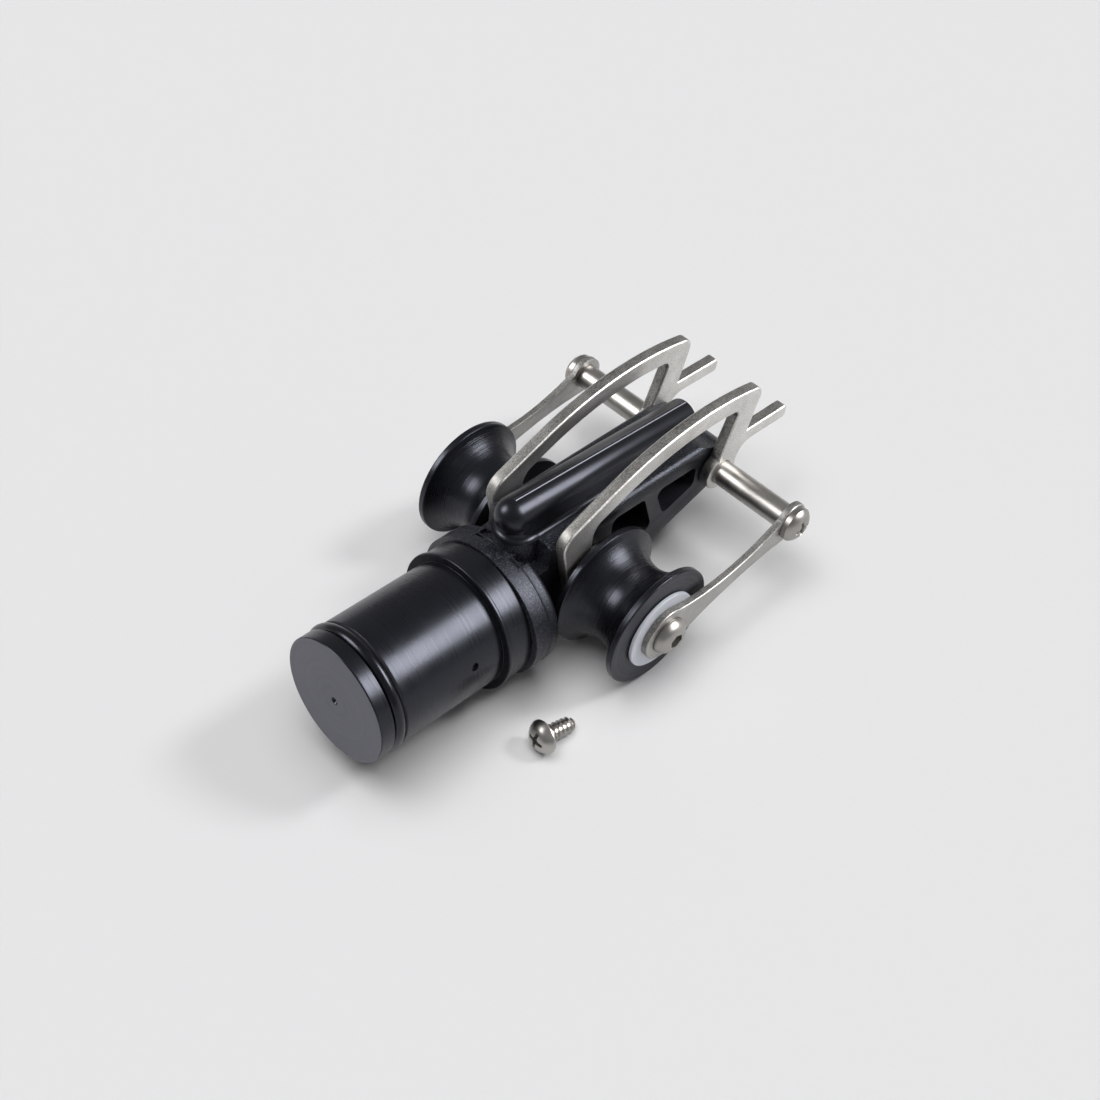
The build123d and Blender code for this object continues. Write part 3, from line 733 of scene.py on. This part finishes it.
button = {
    "head": 7.0, "height": 4.1, "rim": 0.9, "flat": 3.2, "bow": 0.75, "shank": 4.0, "length": 16.0,
    "hexHalf": 2.5, "depth": 2.6,
}
pan = {
    "head": 6.6, "height": 4.7, "rim": 2.0, "flat": 1.6, "bow": 0.75, "shank": 3.0, "length": 14.0,
    "reach": 3.3, "wing": 0.66, "depth": 2.6,
}
loose = {
    "head": 6.1, "height": 4.2, "rim": 0.7, "flat": 1.5, "bow": 0.85, "shank": 3.1, "length": 13.0,
    "reach": 3.4, "wing": 0.68, "depth": 2.6,
    "root": 2.35, "pitch": 1.8, "taper": 3.4, "tip": 0.45, "turn": -6.1, "at": (-1.7, -43.1),
}
machining = {
    "columns": 216, "seatEdge": 0.25, "shankEdge": 0.4,
    "hexWall": 0.12, "drillRadius": 2.0, "drillDepth": 0.5,
    "wingSpread": 0.55, "spreadReach": 1.8, "flankSlope": 6.0, "wingSlope": 2.2,
    "crestHalf": 0.26, "threadStart": 1.2, "taperPower": 1.7,
}
screwAngle = np.linspace(0, 2 * math.pi, machining["columns"], endpoint=False)


def hexFloor(screw, x, y):
    # Steep walls all round, and a flat floor with a drilled cone in its middle
    turns = np.radians([0, 60, 120])[:, None, None]
    inside = screw["hexHalf"] - np.abs(x * np.cos(turns) + y * np.sin(turns)).max(0)
    drill = machining["drillDepth"] * np.clip(1 - np.hypot(x, y) / machining["drillRadius"], 0, 1)
    return screw["height"] - np.clip(inside / machining["hexWall"], 0, 1) * (screw["depth"] + drill)


def crossFloor(screw, x, y):
    # Four wings that widen at the middle: each flank is steep, and each wing's floor rises to its end
    across, along = np.minimum(np.abs(x), np.abs(y)), np.maximum(np.abs(x), np.abs(y))
    widened = np.clip(1 - along / machining["spreadReach"], 0, 1) ** 2
    half = screw["wing"] + machining["wingSpread"] * widened
    deep = np.minimum((half - across) * machining["flankSlope"],
                      (screw["reach"] - along) * machining["wingSlope"])
    return screw["height"] - np.clip(deep, 0, screw["depth"])


def screwHead(screw, floor):
    # From the middle of the top to the seat: dome = chord + 4 * share * (1 - share) * bow, square to the
    # chord
    share = np.linspace(0, 1, 30)[1:, None]
    start, end = np.array([screw["height"], screw["flat"]]), np.array([screw["rim"], screw["head"]])
    out = np.array([end[1] - start[1], start[0] - end[0]]) / np.hypot(*(end - start))
    dome = start + share * (end - start) + 4 * share * (1 - share) * screw["bow"] * out
    top = np.concatenate([0 * share + screw["height"], screw["flat"] * share], 1)
    line = np.concatenate([[[screw["height"], 0]], top[2:], dome])
    rounded = roundedLine([
        (screw["rim"], screw["head"], 0),
        (0.0, screw["head"], machining["seatEdge"]),
        (0.0, screw["shank"], 0),
    ])[1:]
    profile = np.repeat(np.concatenate([line, rounded])[:, None, :], machining["columns"], 1)
    x, y = profile[..., 1] * np.cos(screwAngle), profile[..., 1] * np.sin(screwAngle)
    isTop = np.arange(len(profile))[:, None] < len(line)
    profile[..., 0] = np.where(isTop, np.minimum(profile[..., 0], floor(screw, x, y)), profile[..., 0])
    return profile


def plainShank(screw):
    line = roundedLine([
        (0.0, screw["shank"], 0),
        (-screw["length"], screw["shank"], machining["shankEdge"]),
        (-screw["length"], 0, 0),
    ])
    return np.repeat(line[1:, None, :], machining["columns"], 1)


def threadedShank(screw):
    # One narrow crest a turn: radius = root + (crest - root) * max(0, 1 - |phase - 0.5| / half its width),
    # where the phase is the fraction of (distance / pitch - angle / 2 pi). The crest grows from nothing
    # under the head, and both shrink towards the tip
    away = np.linspace(0, screw["length"], 190)[:, None]
    phase = (away / screw["pitch"] - screwAngle / (2 * math.pi)) % 1
    crest = np.clip(1 - np.abs(phase - 0.5) / machining["crestHalf"], 0, 1)
    crest *= np.clip(away / machining["threadStart"], 0, 1)
    tapered = np.clip((away - screw["length"] + screw["taper"]) / screw["taper"], 0, 1)
    shrink = 1 - (1 - screw["tip"]) * tapered ** machining["taperPower"]
    radius = (screw["root"] + (screw["shank"] - screw["root"]) * crest) * shrink
    rows = np.stack([-away + 0 * phase, radius], -1)
    return np.concatenate([rows, rows[-1:] * (1, 0)])


screwKinds = (
    ("axle", button, hexFloor, axleLine, headSteelAxle),
    ("pin", pan, crossFloor, pinLine, headSteelPin),
)
for hand, sign in (("right", -1), ("left", 1)):
    seat = abs(side("link_arm_" + hand, "y", sign > 0))
    for kind, screw, floor, line, steel in screwKinds:
        rows = np.concatenate([screwHead(screw, floor), plainShank(screw)]) + (seat, 0)
        node = kind + "_screw_" + hand
        makePiece(node + "_machined", turned(rows * (sign, 1), line), "frame", node,
                  [steel], 30)

# The loose screw lies on its head's rim and the end of its full thread, so its line dips a little
dip = math.atan2(loose["head"] - loose["shank"], loose["length"] - loose["taper"])
turn = math.radians(loose["turn"])
looseLine = (
    np.array([*loose["at"], bench + loose["head"] * math.cos(dip)]),
    np.array([math.cos(dip) * math.cos(turn), math.cos(dip) * math.sin(turn), -math.sin(dip)]),
)
looseSteel = turnedSteel("turnedStainlessScrew", looseLine, **barLooks["loose"])
rows = np.concatenate([screwHead(loose, crossFloor), threadedShank(loose)])
makePiece("fixing_screw_threaded", turned(rows * (-1, 1), looseLine), "loose_screw", "fixing_screw",
          [looseSteel], 30)

# Inner pieces keep their CAD shapes
innerPieces = {"roller_bush_left": white, "roller_bush_right": white, "axle_rod": headSteelAxle}
for node, material in innerPieces.items():
    mesh = frame["nodes"][node].data
    mesh.materials.clear()
    mesh.materials.append(material)
print("pin and screws made")


# Camera, floor and lights, as the photograph has them

view = {
    "azimuth": -43.437, "elevation": 52.066, "roll": -1.415,  # degrees
    "distance": 519.91, "aim": (35.855, -8.504, 14.4), "lens": 51.0, "sensor": 36,  # mm
}


def placeCamera():
    azimuth, elevation, roll = (math.radians(view[key]) for key in ("azimuth", "elevation", "roll"))
    back = Vector((math.sin(azimuth) * math.cos(elevation), -math.cos(azimuth) * math.cos(elevation),
                   math.sin(elevation)))
    level = Vector((math.cos(azimuth), math.sin(azimuth), 0))
    right = level * math.cos(roll) + back.cross(level) * math.sin(roll)
    facing = Matrix((right, back.cross(right), back)).transposed()
    station = (Vector(view["aim"]) + back * view["distance"]) * mm
    camera = bpy.data.objects.new("camera", bpy.data.cameras.new("camera"))
    camera.data.lens = view["lens"]
    camera.data.sensor_width = view["sensor"]
    camera.matrix_world = Matrix.Translation(station) @ facing.to_4x4()
    bpy.context.scene.collection.objects.link(camera)
    bpy.context.scene.camera = camera


studio = {
    "floor": "#E6E6E7",
    "backdrop": "#E6E6E6",
    "floorReach": 4.0,  # m
    "floorGap": 0.02,  # mm under the bench's level
    "world": 0.15,  # light from all round
    "walls": 0.25,  # what gloss mirrors beside the suns
}
# Each sun: where it stands, strength, size in degrees, whether it lights and throws the shadow, and whether
# it is seen as a highlight
suns = {
    "leftKey": ((-0.2, 0.35, 0.91), 0.35, 30, True, False),
    "overhead": ((0.0, 0.0, 1.0), 1.8, 50, True, False),
    "rightKey": ((0.6, -0.4, 0.7), 0.8, 12, True, False),
    "leftBox": ((-0.5, 0.55, 0.66), 2.2, 30, False, True),
    "rightBox": ((0.62, -0.55, 0.56), 3.8, 32, False, True),
}


def placeSun(name, towards, strength, size, diffuse, glossy):
    sun = bpy.data.objects.new(name, bpy.data.lights.new(name, "SUN"))
    sun.data.energy = strength
    sun.data.angle = math.radians(size)
    sun.rotation_mode = "QUATERNION"
    sun.rotation_quaternion = Vector(towards).to_track_quat("Z", "Y")
    sun.visible_diffuse = diffuse
    sun.visible_glossy = glossy
    bpy.context.scene.collection.objects.link(sun)


def placeFloor():
    mesh = bpy.data.meshes.new("bench")
    reach, low = studio["floorReach"], (bench - studio["floorGap"]) * mm
    mesh.from_pydata([(-reach, -reach, low), (reach, -reach, low), (reach, reach, low), (-reach, reach, low)],
                     [], [(0, 1, 2, 3)])
    floor = bpy.data.objects.new("bench", mesh)
    bpy.context.scene.collection.objects.link(floor)
    settings = {"Base Color": toLinear(studio["floor"]), "Roughness": 1.0, "Specular IOR Level": 0.0}
    mesh.materials.append(newMaterial("paleBench", settings)[0])


def placeWorld():
    # Glossy rays see the walls, the camera sees the backdrop, and the world lights the rest
    world = bpy.data.worlds.new("studio")
    world.use_nodes = True
    bpy.context.scene.world = world
    tree = world.node_tree
    tree.nodes.clear()
    ray = addNode(tree, "ShaderNodeLightPath").outputs
    kind = "ShaderNodeBackground"
    lit = addNode(tree, kind, {"Color": (1, 1, 1, 1), "Strength": studio["world"]}).outputs[0]
    walls = addNode(tree, kind, {"Color": (1, 1, 1, 1), "Strength": studio["walls"]}).outputs[0]
    shown = addNode(tree, kind, {"Color": toLinear(studio["backdrop"]), "Strength": 1.0}).outputs[0]
    room = addNode(tree, "ShaderNodeMixShader", links={0: ray["Is Glossy Ray"], 1: lit, 2: walls}).outputs[0]
    mixed = addNode(tree, "ShaderNodeMixShader", links={0: ray["Is Camera Ray"], 1: room, 2: shown})
    addNode(tree, "ShaderNodeOutputWorld", links={"Surface": mixed.outputs[0]})


placeCamera()
placeFloor()
for name, settings in suns.items():
    placeSun(name, *settings)
placeWorld()
bpy.context.scene.view_settings.view_transform = "Standard"

print("studio set")
